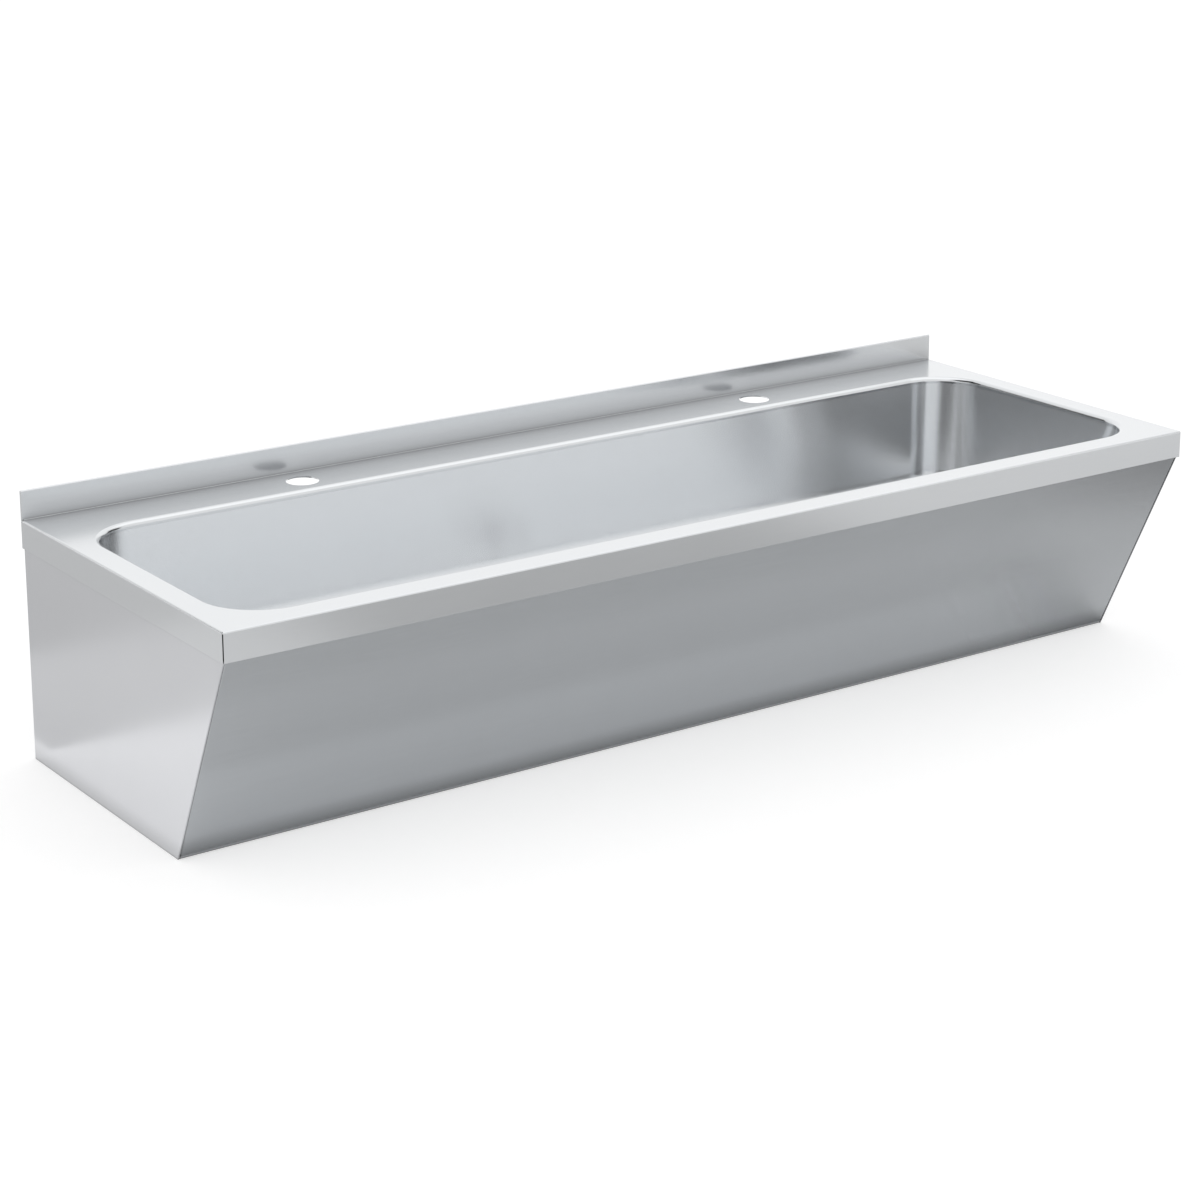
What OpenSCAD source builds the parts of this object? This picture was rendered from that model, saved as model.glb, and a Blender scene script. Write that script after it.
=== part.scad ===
// Wall-hung washing trough of folded and pressed stainless sheet with a sloped casing.
// x runs along the length and y towards the wall, both from the middle. z is the height over the base.

/* [Trough] */
// Length over the end aprons
trough_l = 1200; // [1000:50:1600]
// Depth from the front apron to the wall
trough_d = 425; // [400:5:480]
// Height of the deck over the base
deck_h = 254.5; // [252:0.5:300]
// Height of the upstand over the deck
upstand_h = 30.5; // [15:0.5:120]
// Height of the front and end aprons
apron_h = 30; // [25:1:50]
// Thickness of the stainless sheet
sheet = 1.5; // [1:0.1:2]
// Inside radius of the folds
fold_r = 0.5; // [0.4:0.1:1.5]
// Width of the open mitre at the front corners of the aprons
slit_w = 1.1; // [0.6:0.1:2]

/* [Bowl] */
// Depth of the bowl's floor under the deck
bowl_depth = 134; // [110:1:137]
// Width of the deck in front of the bowl
front_land = 32; // [30:1:50]
// Width of the deck behind the bowl
back_land = 71; // [60:1:100]
// Width of the deck at each end of the bowl
end_land = 30; // [28:1:60]
// Radius of the bowl's corners in plan
corner_r = 60; // [30:1:100]
// Radius between the bowl's walls and floor
floor_r = 20; // [8:1:28]
// Radius of the rolled lip
lip_r = 5; // [3:0.5:8]
// Straight height of the lip under its radius
lip_drop = 2; // [1:0.5:4]

/* [Tap holes] */
// Diameter of the tap holes
tap_d = 35; // [20:1:40]
// Distance between the tap holes
tap_spacing = 600; // [300:50:800]
// Distance of the tap holes from the wall
tap_setback = 38; // [30:1:45]

/* [Casing] */
// Distance of the front panel's base behind the front apron
casing_setback = 108.5; // [60:0.5:120]
// Height of the front panel's upper fold over the apron's lower edge
fold_cover = 4; // [2:0.5:10]
// Depth of the front panel's return at the base
return_w = 22; // [18:1:30]
// Depth of the front panel's end flanges
end_flange_w = 15; // [8:1:25]
// Width of the side angles' feet at the base
side_return_w = 18; // [16:1:25]
// Width of the side panels' flanges on the wall
wall_flange_w = 50; // [48:1:60]
// Height of the rear rail
rail_h = 25; // [15:1:30]
// Depth of the rear rail
rail_w = 30; // [24:1:40]
// Distance of the casing ties from the middle
tie_x = 350; // [200:10:400]
// Width of each casing tie
tie_w = 30; // [24:1:50]
// Height of each casing tie's flanges
tie_h = 12; // [6:1:20]
// Depth of the front stiffener
stiffener_h = 24; // [15:1:26]

/* [Wall brackets] */
// Thickness of the bracket plate
bracket_t = 3; // [2:0.5:4]
// Reach of the brackets from the wall
bracket_reach = 330; // [250:10:360]
// Height of the brackets at the wall
bracket_h = 190; // [175:5:200]
// Height of the brackets at their front
bracket_nose_h = 25; // [15:1:60]
// Width of the bracket's upper flange
bracket_flange_w = 17; // [15:1:18]
// Width of the bracket's wall plate
bracket_plate_w = 45; // [40:1:50]
// Distance of the wall slots from the ends
slot_inset = 30; // [28:1:34]
// Distance of the upper wall slots under the deck
slot_drop = 54.5; // [50:0.5:55]
// Height between the wall slots
slot_spacing = 110; // [80:5:110]
// Width of the wall slots
slot_w = 9; // [7:0.5:11]
// Length of the wall slots
slot_l = 18; // [12:1:22]

/* [Waste] */
// Diameter of the waste tail's thread
tail_d = 47.8; // [40:0.1:50]
// Diameter of the waste's bore
waste_bore_d = 41; // [34:0.5:42]
// Diameter of the waste's flange
waste_flange_d = 77; // [72:1:84]
// Thickness of the waste's flange
waste_flange_t = 2; // [1.8:0.1:2.5]
// Length of the tail under the bowl
tail_l = 26; // [25:0.5:28]
// Radius of the dish pressed round the waste
dish_r = 45; // [44:1:60]
// Diameter of the strainer plate
strainer_d = 46.4; // [44:0.1:46.6]
// Height to which the strainer is lifted clear
strainer_knob_h = 8; // [5:0.5:12]

/* [Trap] */
// Outer diameter of the trap's bottle
bottle_d = 72; // [68:1:76]
// Wall of the trap's plastic parts
trap_wall = 2.5; // [2:0.1:3]
// Outer diameter of the outlet pipe
pipe_d = 40; // [36:1:40]
// Wall of the outlet pipe
pipe_wall = 1.8; // [1.5:0.1:3]
// Drop from the bottle's top to its lower rim
bottle_h = 58.5; // [56:0.5:60]
// Depth of the cleaning cup under its flange
cup_h = 10; // [6:0.5:11]

/* [Hidden] */

// Smoothness of large, middling and small rounds
large_fn = 128;
round_fn = 64;
small_fn = 32;
// Overrun of every cut
over = 1;
// Gap left between sheet edges that don't meet
edge_gap = 1;
// Gap left between pieces that move on each other
run_gap = 0.3;
// Gap of a nut or ring on its thread
thread_gap = 0.1;
// Turn of a square fold, and sides of a hexagon
square_turn = 90;
hex_sides = 6;

// Parts of a millimetre that places are rounded to, so that sheets which meet stay joined at any size
grid_parts = 8;
function on_grid(v) = round(v * grid_parts) / grid_parts;

// Outline of the trough
half_l = on_grid(trough_l / 2);
half_d = on_grid(trough_d / 2);
fold_out = on_grid(fold_r + sheet);
bend_r = fold_out - sheet;
under = deck_h - sheet;
apron_z = deck_h - apron_h;
hem_t = 2 * sheet;

// Bowl: centres of its corners and heights of its floor
bowl_cx = on_grid(half_l - end_land - corner_r);
bowl_front_cy = on_grid(-half_d + front_land + corner_r);
bowl_back_cy = on_grid(half_d - back_land - corner_r);
bowl_back_y = half_d - back_land + sheet;
lip_z = deck_h - lip_r - lip_drop;
floor_z = deck_h - bowl_depth;
floor_under = floor_z - sheet;
floor_steps = 9;
corner_steps = 14;
bend_steps = 6;

// Casing: the front panel runs from its upper fold down to its base, and the bowl's front follows it
panel_y = -half_d + sheet;
panel_fold_z = apron_z + fold_cover;
panel_base_y = -half_d + casing_setback;
slope_run = panel_base_y - panel_y;
slope_angle = atan(slope_run / panel_fold_z);
slope_len = norm([slope_run, panel_fold_z]);
panel_half = half_l - 2 * sheet;
bowl_front_y = -half_d + front_land;
floor_front_y = bowl_front_y + (lip_z - floor_z) * tan(slope_angle);
floor_mid_y = (floor_front_y + bowl_back_y - sheet) / 2;
side_x = -half_l + sheet;
side_top = under - edge_gap;
rivnut_flange_t = 0.8;
flange_relief = 8;
side_z = sheet + rivnut_flange_t;
side_leg_h = 8;

// Casing screws and rivet nuts
screw_d = 4;
screw_head_d = 8;
screw_head_h = 2;
screw_l = 11;
screw_sunk = 0.15;
screw_socket_d = 2.6;
screw_socket_h = 1;
rivnut_d = 6;
rivnut_flange_d = 10;
rivnut_l = 10;
rivnut_fit = 0.05;
screw_corner_x = half_l - sheet - side_return_w / 2;
screw_front_y = panel_base_y + return_w / 2 + fold_out;
screw_rear_y = half_d - sheet - rail_w / 2 - fold_out;
screw_places = [
  for (x = [-screw_corner_x, -tie_x, tie_x, screw_corner_x], y = [screw_front_y, screw_rear_y]) [x, y]
];

// Wall brackets
bracket_gap = 3;
bracket_fold_r = 1.5;
bracket_fold_out = bracket_fold_r + bracket_t;
bracket_x = -half_l + 2 * sheet + bracket_gap;
bracket_back_y = half_d - sheet;
bracket_front_y = half_d - bracket_reach;
bracket_low_z = under - bracket_h;
slot_x = half_l - slot_inset;
stud_d = 6;
stud_l = 14;
stud_hole_d = 7;
stud_x = half_l - 2 * sheet - bracket_gap - bracket_t / 2 - bracket_flange_w / 2 - edge_gap;
stud_edge = 62;
stud_ys = [bracket_front_y + stud_edge, bracket_back_y - stud_edge];
washer_d = 12;
washer_t = 1.2;
nut_flats = 10;
nut_h = 5;

// Stiffeners and pads under the bowl
channel_x = 170;
channel_w = 40;
channel_h = 18;
channel_flange_w = 15;
pad_inset = 80;
pad_gap = 45;
pad_from = channel_x + channel_w / 2 + channel_flange_w + pad_gap;
pad_to = half_l - end_land - pad_inset;
pad_w = 190;
pad_t = 3;

// Earthing point on the back of the bowl
earth_w = 20;
earth_leg = 22;
earth_z = 180;
earth_hole_y = bowl_back_y + earth_leg - earth_w / 2;
earth_hole_d = 6.6;
earth_bolt_l = 16;
earth_head_h = 4;

// Waste: heights down from the dish
waste_y = floor_mid_y;
dish_drop = 3;
dish_z = floor_z - dish_drop;
dish_under = dish_z - sheet;
waste_hole_r = tail_d / 2 + run_gap;
top_gasket_t = 1;
flange_z = dish_z + top_gasket_t;
flange_top_z = flange_z + waste_flange_t;
flange_bevel = 1;
tail_z = dish_under - tail_l;
seat_depth = 1.6;
seat_r = strainer_d / 2 + run_gap;
strainer_t = 1.2;
strainer_z = flange_top_z - seat_depth + run_gap;
skirt_h = 8;
skirt_t = 1.4;
strainer_hole_d = 4.6;
strainer_ring_shares = [0.42, 0.72];
strainer_ring_counts = [6, 12];
knob_stem_d = 5;
knob_head_d = 12;
knob_head_h = 3;
gasket_t = 3;
gasket_w = 9;
slip_t = 1;
backnut_flats = 60;
backnut_h = 8;

// Trap: heights down from the end of the tail
inlet_washer_t = 2.5;
collar_h = 3;
lip_h = 2;
collar_r = tail_d / 2 - run_gap;
neck_r = 20.5;
inlet_bore_r = 17;
inlet_nut_d = 62;
inlet_nut_up = 11;
rib_d = 3;
nut_ribs = 18;
collar_z = tail_z - inlet_washer_t - collar_h;
inlet_lip_z = collar_z - lip_h;
neck_gap = 2;
bottle_top_z = inlet_lip_z - neck_gap;
bottle_rim_z = bottle_top_z - bottle_h;
pipe_fit = 0.3;
spigot_wall = 1.9;
spigot_r = pipe_d / 2 + pipe_fit + spigot_wall;
outlet_z = bottle_top_z - spigot_r;
spigot_y = 62;
pipe_start_y = 45;
outlet_nut_d = 56;
outlet_nut_l = 18;
outlet_seal_l = 3;
outlet_lip_l = 3;
outlet_bead_gap = 3;
outlet_bead_w = 2;
outlet_bead_h = 1.2;
dip_wall = 1.5;
dip_gap = 2;
dip_z = bottle_rim_z - dip_gap;
cup_seal_t = 2.2;
cup_flange_t = 2;
cup_flange_z = bottle_rim_z - run_gap - cup_seal_t - cup_flange_t;
cup_inset = 3.2;
cup_r = bottle_d / 2 - cup_inset;
ring_wall = 3.5;
ring_up = 13;
ring_lip_t = 2;
ring_lip_z = cup_flange_z - run_gap - ring_lip_t;
ring_ribs = 16;
gasket_bore_r = tail_d / 2 + run_gap;

// Extrudes a y-z outline from x0 to x1
module along_x(x0, x1) {
  translate([x0, 0, 0]) rotate([square_turn, 0, square_turn]) linear_extrude(x1 - x0) children();
}

// Extrudes an x-z outline from y0 to y1
module along_y(y0, y1) {
  translate([0, y1, 0]) rotate([square_turn, 0, 0]) linear_extrude(y1 - y0) children();
}

// Extrudes an x-y outline from z0 to z1
module along_z(z0, z1) {
  translate([0, 0, z0]) linear_extrude(z1 - z0) children();
}

// Tube or disc standing on z0
module ring(z0, z1, r_out, r_in) {
  difference() {
    translate([0, 0, z0]) cylinder(h = z1 - z0, r = r_out, $fn = round_fn);
    translate([0, 0, z0 - over]) cylinder(h = z1 - z0 + 2 * over, r = r_in, $fn = round_fn);
  }
}

// Hexagonal nut with its bore
module hex_nut(z0, z1, flats, r_in) {
  difference() {
    translate([0, 0, z0]) cylinder(h = z1 - z0, r = flats / sqrt(3), $fn = hex_sides);
    translate([0, 0, z0 - over]) cylinder(h = z1 - z0 + 2 * over, r = r_in, $fn = round_fn);
  }
}

// Turn at a corner of a fold path, positive to the left
function corner_turn(a, b, c) =
  let (u = b - a, v = c - b) atan2(u[0] * v[1] - u[1] * v[0], u[0] * v[0] + u[1] * v[1]);

// Turn of a fold path at one of its points, none at its ends
function fold_turn(path, i) =
  i <= 0 || i >= len(path) - 1 ? 0 : corner_turn(path[i - 1], path[i], path[i + 1]);

// Length by which a leg runs past a fold whose inside is the drawn face
function fold_reach(path, i, side, t) = fold_turn(path, i) * side < 0 ? t : 0;

// Places its children at the middle of each square fold, with the fold's quarter to their front right
module at_folds(path, side, t, r) {
  for (i = [1 : 1 : len(path) - 2]) {
    way = path[i] - path[i - 1];
    unit = way / norm(way);
    turn = fold_turn(path, i);
    face = turn * side > 0 ? r + t : r;
    translate(path[i] - unit * face + sign(turn) * face * [-unit[1], unit[0]])
      rotate(atan2(way[1], way[0]) + (turn > 0 ? -square_turn : 0))
        children();
  }
}

// Section of a sheet with square folds. The path is one face of the sheet, and the sheet lies to its
// left where side is 1 and to its right where side is -1.
module folded(path, side, t = sheet, r = bend_r) {
  difference() {
    union() {
      for (i = [0 : len(path) - 2]) {
        way = path[i + 1] - path[i];
        start = fold_reach(path, i, side, t);
        translate(path[i])
          rotate(atan2(way[1], way[0]))
            translate([-start, side > 0 ? 0 : -t])
              square([norm(way) + start + fold_reach(path, i + 1, side, t), t]);
      }
      at_folds(path, side, t, r)
        difference() {
          square(r + t / 2);
          circle(r, $fn = round_fn);
        }
    }
    at_folds(path, side, t, r)
      difference() {
        square(r + t + over);
        circle(r + t, $fn = round_fn);
      }
  }
}

// Carries a section round the bowl. Its first axis is the distance from the corners' centres.
module round_bowl() {
  for (side = [-1, 1]) {
    translate([side * bowl_cx, bowl_back_cy, 0])
      rotate([0, 0, side > 0 ? 0 : square_turn])
        rotate_extrude(angle = square_turn, $fn = large_fn) children();
    translate([side * bowl_cx, bowl_front_cy, 0])
      rotate([0, 0, side > 0 ? -square_turn : 2 * square_turn])
        rotate_extrude(angle = square_turn, $fn = large_fn) children();
  }
  along_x(-bowl_cx, bowl_cx) translate([bowl_back_cy, 0]) children();
  along_x(-bowl_cx, bowl_cx) translate([bowl_front_cy, 0]) mirror([1, 0]) children();
  along_y(bowl_front_cy, bowl_back_cy) translate([bowl_cx, 0]) children();
  along_y(bowl_front_cy, bowl_back_cy) translate([-bowl_cx, 0]) mirror([1, 0]) children();
}

// Quarter of a round bar's wall, above and inside its centre
module quarter_wall(r_out, r_in) {
  intersection() {
    difference() {
      circle(r_out, $fn = round_fn);
      circle(r_in, $fn = round_fn);
    }
    translate([-r_out, 0]) square([r_out, r_out]);
  }
}

// Slots for the wall bolts on the left, through everything at the wall
module wall_slots() {
  for (z = [deck_h - slot_drop - slot_spacing, deck_h - slot_drop])
    translate([-slot_x, half_d + over, z])
      rotate([square_turn, 0, 0]) {
        for (end = [-1, 1])
          translate([end * (slot_l - slot_w) / 2, 0, 0])
            cylinder(h = sheet + bracket_t + 2 * over, d = slot_w, $fn = small_fn);
        translate([-(slot_l - slot_w) / 2, -slot_w / 2, 0])
          cube([slot_l - slot_w, slot_w, sheet + bracket_t + 2 * over]);
      }
}

// Folded deck with its aprons, doubled upstand, rolled lip and tap holes
module deck() color("#d9dbdd") {
  difference() {
    union() {
      along_x(-half_l + fold_out, half_l - fold_out)
        folded([
          [-half_d, apron_z],
          [-half_d, deck_h],
          [half_d - hem_t, deck_h],
          [half_d - hem_t, deck_h + upstand_h - sheet]
        ], -1);
      for (side = [0, 1]) mirror([side, 0, 0]) deck_end();
      along_x(-half_l, half_l) upstand_hem();
    }
    translate([0, 0, under - over])
      linear_extrude(sheet + 2 * over) rim_outline();
    for (side = [-1, 1]) {
      translate([side * tap_spacing / 2, half_d - tap_setback, under - over])
        cylinder(h = sheet + 2 * over, d = tap_d, $fn = round_fn);
      translate([side * half_l, -half_d, apron_z - over])
        rotate([0, 0, side > 0 ? square_turn * 3 / 2 : square_turn / 2])
          translate([-hem_t, -slit_w / 2, 0])
            cube([2 * hem_t, slit_w, apron_h - fold_out - run_gap + over]);
    }
  }
  round_bowl() {
    translate([corner_r + lip_r, deck_h - lip_r]) quarter_wall(lip_r, lip_r - sheet);
    translate([corner_r, lip_z]) square([sheet, lip_drop]);
  }
}

// Left end of the deck: its fold, apron and welded corners
module deck_end() {
  along_y(-half_d + fold_out, half_d)
    folded([[-half_l, apron_z], [-half_l, deck_h], [-half_l + fold_out, deck_h]], -1);
  translate([-half_l + fold_out, -half_d + fold_out, 0])
    rotate([0, 0, 2 * square_turn])
      rotate_extrude(angle = square_turn, $fn = round_fn)
        translate([0, deck_h - fold_out]) mirror([1, 0]) quarter_wall(fold_out, bend_r);
  translate([-half_l, -half_d, apron_z]) {
    cube([fold_out, sheet, apron_h - fold_out]);
    cube([sheet, fold_out, apron_h - fold_out]);
  }
  translate([-half_l, half_d - hem_t, under]) cube([fold_out, hem_t, upstand_h]);
}

// Section of the upstand: the front leaf, the closed hem and the back leaf
module upstand_hem() {
  translate([half_d - hem_t, deck_h + fold_out]) square([hem_t, upstand_h - sheet - fold_out]);
  intersection() {
    translate([half_d - sheet, deck_h + upstand_h - sheet]) circle(sheet, $fn = small_fn);
    translate([half_d - hem_t, deck_h + upstand_h - sheet]) square([hem_t, sheet]);
  }
}

// Outline of the deck's opening at the outer edge of the lip
module rim_outline() {
  r = corner_r + lip_r;
  for (side = [-1, 1]) {
    translate([side * bowl_cx, bowl_back_cy])
      intersection() {
        circle(r, $fn = large_fn);
        translate([side > 0 ? 0 : -r, 0]) square([r, r]);
      }
    translate([side * bowl_cx, bowl_front_cy])
      intersection() {
        circle(r, $fn = large_fn);
        translate([side > 0 ? 0 : -r, -r]) square([r, r]);
      }
  }
  translate([-bowl_cx, bowl_front_cy - r]) square([2 * bowl_cx, bowl_back_cy - bowl_front_cy + 2 * r]);
  translate([-bowl_cx - r, bowl_front_cy])
    square([2 * (bowl_cx + r), bowl_back_cy - bowl_front_cy]);
}

// Pressed bowl with its rounded floor and the dish for the waste
module bowl() color("#c3c6c9") {
  difference() {
    bowl_shell();
    translate([0, waste_y, floor_under - over]) cylinder(h = sheet + 2 * over, r = dish_r, $fn = round_fn);
  }
  translate([0, waste_y, 0])
    rotate_extrude($fn = round_fn)
      polygon([
        [dish_r, floor_z],
        [dish_r - dish_drop, dish_z],
        [waste_hole_r, dish_z],
        [waste_hole_r, dish_under],
        [dish_r - dish_drop, dish_under],
        [dish_r, floor_under]
      ]);
}

// The bowl's skins are rings at falling levels: the foot of the lip first, then round the floor's
// radius. A skin lies t outside the bowl's inner face.
function level_turn(k) = square_turn * (k - 1) / floor_steps;
function level_z(k, t) = k == 0 ? lip_z : floor_z + floor_r - (floor_r + t) * sin(level_turn(k));
function level_inset(k, t) = k == 0 ? -t : floor_r - (floor_r + t) * cos(level_turn(k));

// Place of the sloped front wall at a level
function level_front(k, t) =
  k == 0 || level_turn(k) < slope_angle
    ? bowl_front_y + (lip_z - level_z(k, t)) * tan(slope_angle) - t / cos(slope_angle)
    : bowl_front_y + (lip_z - floor_z - floor_r) * tan(slope_angle) + floor_r / cos(slope_angle)
      - (floor_r + t) * cos(level_turn(k));

// One ring of a skin, corner by corner from the back right
function skin_ring(k, t) =
  let (r = corner_r - level_inset(k, t))
  [
    for (q = [0 : 3], i = [0 : corner_steps])
      let (a = square_turn * (q + i / corner_steps))
      [
        (q == 0 || q == 3 ? bowl_cx : -bowl_cx) + r * cos(a),
        (q < 2 ? bowl_back_cy : level_front(k, t) + r) + r * sin(a),
        level_z(k, t)
      ]
  ];

// Triangles between two rings that start at points a and b
function band(a, b, n) = [
  for (i = [0 : n - 1], half = [0, 1])
    let (j = (i + 1) % n)
    half == 0 ? [a + i, a + j, b + j] : [a + i, b + j, b + i]
];

// Shell between the bowl's inner and outer skins
module bowl_shell() {
  n = 4 * (corner_steps + 1);
  last = floor_steps + 1;
  outer = (last + 1) * n;
  polyhedron(
    points = [for (t = [0, sheet], k = [0 : last], p = skin_ring(k, t)) p],
    faces = concat(
      [for (k = [0 : last - 1], f = band((k + 1) * n, k * n, n)) f],
      [for (k = [0 : last - 1], f = band(outer + k * n, outer + (k + 1) * n, n)) f],
      band(0, outer, n),
      [[for (i = [n - 1 : -1 : 0]) last * n + i]],
      [[for (i = [0 : n - 1]) outer + last * n + i]]
    )
  );
}

// Centre of a fold of the front panel, whose path runs round the outside of its folds
function bend_centre(path, i) =
  let (
    way = path[i] - path[i - 1],
    unit = way / norm(way),
    turn = corner_turn(path[i - 1], path[i], path[i + 1])
  )
  path[i] - unit * fold_out * tan(turn / 2) + fold_out * [-unit[1], unit[0]];

// Points of one face of the sheet round that fold
function bend_arc(path, i, r) =
  let (
    way = path[i] - path[i - 1],
    turn = corner_turn(path[i - 1], path[i], path[i + 1]),
    from = atan2(way[1], way[0]) - square_turn
  )
  [
    for (k = [0 : bend_steps])
      bend_centre(path, i) + r * [cos(from + turn * k / bend_steps), sin(from + turn * k / bend_steps)]
  ];

// Sloped front of the casing, folded behind the apron, under at the base and in at the ends
module front_panel() color("#8f9498") {
  path = [
    [panel_y, side_top],
    [panel_y, panel_fold_z],
    [panel_base_y, 0],
    [panel_base_y + return_w, 0]
  ];
  inner = concat(bend_arc(path, 1, bend_r), bend_arc(path, 2, bend_r));
  difference() {
    union() {
      along_x(-panel_half, panel_half)
        polygon(concat(
          [path[0]],
          bend_arc(path, 1, fold_out),
          bend_arc(path, 2, fold_out),
          [path[3], path[3] + [0, sheet]],
          [for (i = [len(inner) - 1 : -1 : 0]) inner[i]],
          [path[0] + [sheet, 0]]
        ));
      for (side = [0, 1]) mirror([side, 0, 0]) front_panel_flange();
    }
    for (side = [0, 1]) mirror([side, 0, 0]) front_panel_round();
    casing_sinks();
  }
}

// Left end flange of the front panel, along the inside of the side panel and clear of its return
module front_panel_flange() {
  flange_l = slope_len - flange_relief - edge_gap;
  translate([-panel_half, panel_y, panel_fold_z])
    rotate([slope_angle, 0, 0])
      translate([0, sheet / 2, -edge_gap - flange_l]) cube([sheet, end_flange_w - sheet / 2, flange_l]);
}

// Cutter that rounds the front panel's left end as a fold does
module front_panel_round() {
  translate([-panel_half, panel_y, panel_fold_z])
    rotate([slope_angle, 0, 0])
      translate([0, 0, -slope_len])
        linear_extrude(slope_len - edge_gap)
          difference() {
            translate([-over, -over]) square(fold_out + over);
            translate([fold_out, fold_out]) circle(fold_out, $fn = small_fn);
          }
}

// Countersinks of the casing screws in the sheet that they pass first
module casing_sinks() {
  reach = sheet + 2 * over;
  spread = (screw_head_d - screw_d) / 2 / screw_head_h;
  low_r = screw_head_d / 2 + thread_gap + (screw_sunk + over) * spread;
  for (p = screw_places)
    translate([p[0], p[1], -over])
      cylinder(h = reach, r1 = low_r, r2 = low_r - reach * spread, $fn = small_fn);
}

// Holes for the rivet nuts in the sheet over the returns
module rivnut_holes() {
  for (p = screw_places)
    translate([p[0], p[1], side_z - over])
      cylinder(h = sheet + 2 * over, r = rivnut_d / 2 + rivnut_fit, $fn = small_fn);
}

// Left end of the casing with its wall flange
module side_panel() {
  difference() {
    union() {
      along_x(side_x, side_x + sheet)
        polygon([
          [panel_y, side_top],
          [panel_y, panel_fold_z],
          [panel_base_y, 0],
          [half_d - fold_out, 0],
          [half_d - fold_out, side_top]
        ]);
      along_z(0, side_top)
        folded([[side_x, half_d - fold_out], [side_x, half_d], [side_x + wall_flange_w, half_d]], -1);
    }
    wall_slots();
  }
}

module left_side_panel() color("#c9cbcd") side_panel();

module right_side_panel() color("#c9cbcd") mirror([1, 0, 0]) side_panel();

// Angle welded inside the left end of the casing, with its foot over the front return and the rear rail
module side_angle() {
  x = side_x + sheet;
  difference() {
    along_y(panel_base_y + fold_out + edge_gap, half_d - fold_out - hem_t)
      folded([[x, side_z + side_leg_h], [x, side_z], [side_x + side_return_w, side_z]], 1);
    rivnut_holes();
  }
}

module left_side_angle() color("#b4b7ba") side_angle();

module right_side_angle() color("#b4b7ba") mirror([1, 0, 0]) side_angle();

// Angle under the front land, behind the front panel's upper flange
module front_stiffener() color("#b4b7ba") {
  y = -half_d + hem_t;
  along_x(-bowl_cx - corner_r, bowl_cx + corner_r)
    folded([
      [y, under - stiffener_h],
      [y, under],
      [-half_d + front_land - lip_r - edge_gap, under]
    ], -1);
}

// Angle along the base at the wall
module rear_rail() color("#b4b7ba") {
  difference() {
    along_x(edge_gap - panel_half, panel_half - edge_gap)
      folded([
        [half_d - sheet, rail_h],
        [half_d - sheet, 0],
        [half_d - sheet - rail_w, 0]
      ], -1);
    casing_sinks();
  }
}

// Channel across the base, between the front return and the rear rail
module casing_tie() {
  difference() {
    translate([tie_x, 0, side_z])
      along_y(panel_base_y + fold_out + hem_t, half_d - hem_t - edge_gap)
        folded([[-tie_w / 2, tie_h], [-tie_w / 2, 0], [tie_w / 2, 0], [tie_w / 2, tie_h]], 1);
    rivnut_holes();
  }
}

module left_casing_tie() color("#b4b7ba") mirror([1, 0, 0]) casing_tie();

module right_casing_tie() color("#b4b7ba") casing_tie();

// Countersunk screws up into the casing from below
module casing_screws() color("#a9acb0") {
  for (p = screw_places)
    translate([p[0], p[1], screw_sunk])
      difference() {
        union() {
          cylinder(h = screw_head_h, d1 = screw_head_d, d2 = screw_d, $fn = small_fn);
          translate([0, 0, screw_head_h]) cylinder(h = screw_l - screw_head_h, d = screw_d, $fn = small_fn);
        }
        translate([0, 0, -over])
          cylinder(h = screw_socket_h + over, d = screw_socket_d, $fn = hex_sides);
      }
}

// Rivet nuts in the side angles and ties
module casing_rivnuts() color("#9da0a4") {
  for (p = screw_places)
    translate([p[0], p[1], sheet])
      difference() {
        union() {
          cylinder(h = rivnut_flange_t, d = rivnut_flange_d, $fn = small_fn);
          cylinder(h = rivnut_l, d = rivnut_d, $fn = small_fn);
        }
        translate([0, 0, -over])
          cylinder(h = rivnut_l + 2 * over, d = screw_d + 2 * thread_gap, $fn = small_fn);
        translate([0, 0, -over])
          cylinder(h = rivnut_flange_t + over, d = screw_d + hem_t / 2, $fn = small_fn);
      }
}

// Folded bracket under the left end of the deck
module wall_bracket() {
  difference() {
    union() {
      along_x(bracket_x, bracket_x + bracket_t)
        polygon([
          [bracket_front_y, under - bracket_fold_out],
          [bracket_front_y, under - bracket_nose_h],
          [bracket_back_y - bracket_fold_out, bracket_low_z],
          [bracket_back_y - bracket_fold_out, under - bracket_fold_out]
        ]);
      along_y(bracket_front_y, bracket_back_y - bracket_fold_out)
        folded([
          [bracket_x, under - bracket_fold_out],
          [bracket_x, under],
          [bracket_x + bracket_flange_w, under]
        ], -1, bracket_t, bracket_fold_r);
      along_z(bracket_low_z, under - bracket_fold_out)
        folded([
          [bracket_x, bracket_back_y - bracket_fold_out],
          [bracket_x, bracket_back_y],
          [bracket_x + bracket_plate_w, bracket_back_y]
        ], -1, bracket_t, bracket_fold_r);
    }
    wall_slots();
    for (y = stud_ys)
      translate([-stud_x, y, under - bracket_t - over])
        cylinder(h = bracket_t + 2 * over, d = stud_hole_d, $fn = small_fn);
  }
}

module left_wall_bracket() color("#aeb1b5") wall_bracket();

module right_wall_bracket() color("#aeb1b5") mirror([1, 0, 0]) wall_bracket();

// Places its children at the four studs, under the deck
module at_studs() {
  for (side = [-1, 1], y = stud_ys)
    translate([side * stud_x, y, under]) children();
}

module bracket_studs() color("#b9bcbf")
  at_studs() translate([0, 0, -stud_l]) cylinder(h = stud_l, d = stud_d, $fn = small_fn);

module bracket_washers() color("#c2c5c8")
  at_studs() ring(-bracket_t - washer_t, -bracket_t, washer_d / 2, stud_d / 2 + thread_gap);

module bracket_nuts() color("#a9acb0")
  at_studs()
    translate([0, 0, -bracket_t - washer_t])
      hex_nut(-nut_h, 0, nut_flats, stud_d / 2 + thread_gap);

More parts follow.
